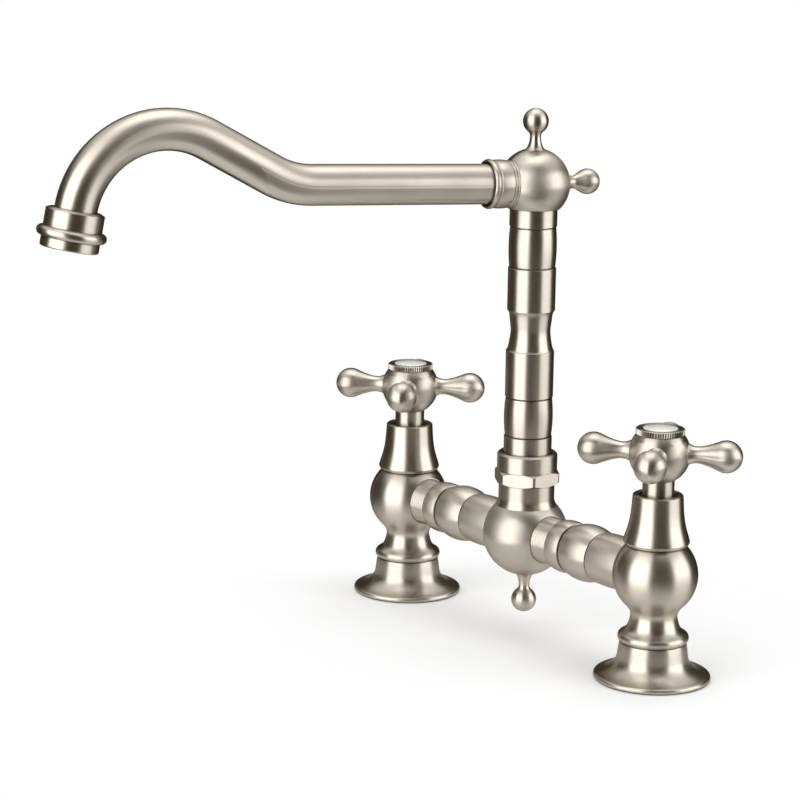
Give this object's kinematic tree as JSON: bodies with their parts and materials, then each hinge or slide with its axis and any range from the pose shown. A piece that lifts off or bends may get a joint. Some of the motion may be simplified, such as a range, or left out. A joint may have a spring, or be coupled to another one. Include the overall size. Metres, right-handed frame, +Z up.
{
  "type": "bridge kitchen tap",
  "caption": "Bridge kitchen tap: turned pillars with cross handles, joined by a ringed bridge that carries a riser and a swivelling swan-neck spout.",
  "frame": {"origin": "on the deck, midway between the two inlets", "axes": "+Z up, +X along the bridge from the hot pillar to the cold pillar, -Y towards the user"},
  "size_m": [0.2414, 0.2701, 0.2614],
  "materials": {
    "nickel": "brushed nickel plate over brass, satin",
    "brass": "plain turned brass",
    "spring_steel": "stainless steel, as turned",
    "ceramic": "lapped ceramic",
    "porcelain": "white glaze, bare",
    "rubber": "black rubber, matt",
    "white_plastic": "moulded plastic"
  },
  "bodies": {
    "bridge": {"hot_foot": "nickel", "hot_foot_gasket": "rubber", "hot_pillar_body": "nickel", "hot_bonnet": "nickel", "hot_valve_cartridge": "brass", "hot_valve_seal": "rubber", "hot_fixed_disc": "ceramic", "hot_bridge_arm": "nickel", "hot_arm_o_rings": "rubber", "cold_foot": "nickel", "cold_foot_gasket": "rubber", "cold_pillar_body": "nickel", "cold_bonnet": "nickel", "cold_valve_cartridge": "brass", "cold_valve_seal": "rubber", "cold_fixed_disc": "ceramic", "cold_bridge_arm": "nickel", "cold_arm_o_rings": "rubber", "middle_body": "nickel", "lower_finial": "nickel", "union_nut": "nickel", "slip_washer": "white_plastic"},
    "spout": {"riser": "nickel", "retainer_clip": "white_plastic", "riser_o_rings": "rubber", "head_ball": "nickel", "top_finial": "nickel", "side_finial": "nickel", "spout_collar": "nickel", "spout_tube": "nickel", "outlet_collar": "nickel", "aerator_washer": "rubber", "aerator_shell": "nickel", "aerator_insert": "white_plastic"},
    "hot_handle": {"hot_cross_handle": "nickel", "hot_stem_sleeve": "nickel", "hot_cap_ring": "nickel", "hot_index_disc": "porcelain", "hot_handle_screw": "spring_steel", "hot_spindle": "brass", "hot_spindle_o_rings": "rubber", "hot_spindle_clip": "spring_steel", "hot_moving_disc": "ceramic"},
    "cold_handle": {"cold_cross_handle": "nickel", "cold_stem_sleeve": "nickel", "cold_cap_ring": "nickel", "cold_index_disc": "porcelain", "cold_handle_screw": "spring_steel", "cold_spindle": "brass", "cold_spindle_o_rings": "rubber", "cold_spindle_clip": "spring_steel", "cold_moving_disc": "ceramic"}
  },
  "joints": [
    {"name": "spout_swivel", "type": "hinge", "parent": "bridge", "child": "spout", "pos_m": [0, 0, 0.075], "axis": [0, 0, 1], "continuous": true},
    {"name": "hot_turn", "type": "hinge", "parent": "bridge", "child": "hot_handle", "pos_m": [-0.09, 0, 0.07], "axis": [0, 0, 1], "range_deg": [0, 90]},
    {"name": "cold_turn", "type": "hinge", "parent": "bridge", "child": "cold_handle", "pos_m": [0.09, 0, 0.07], "axis": [0, 0, 1], "range_deg": [-90, 0]}
  ]
}
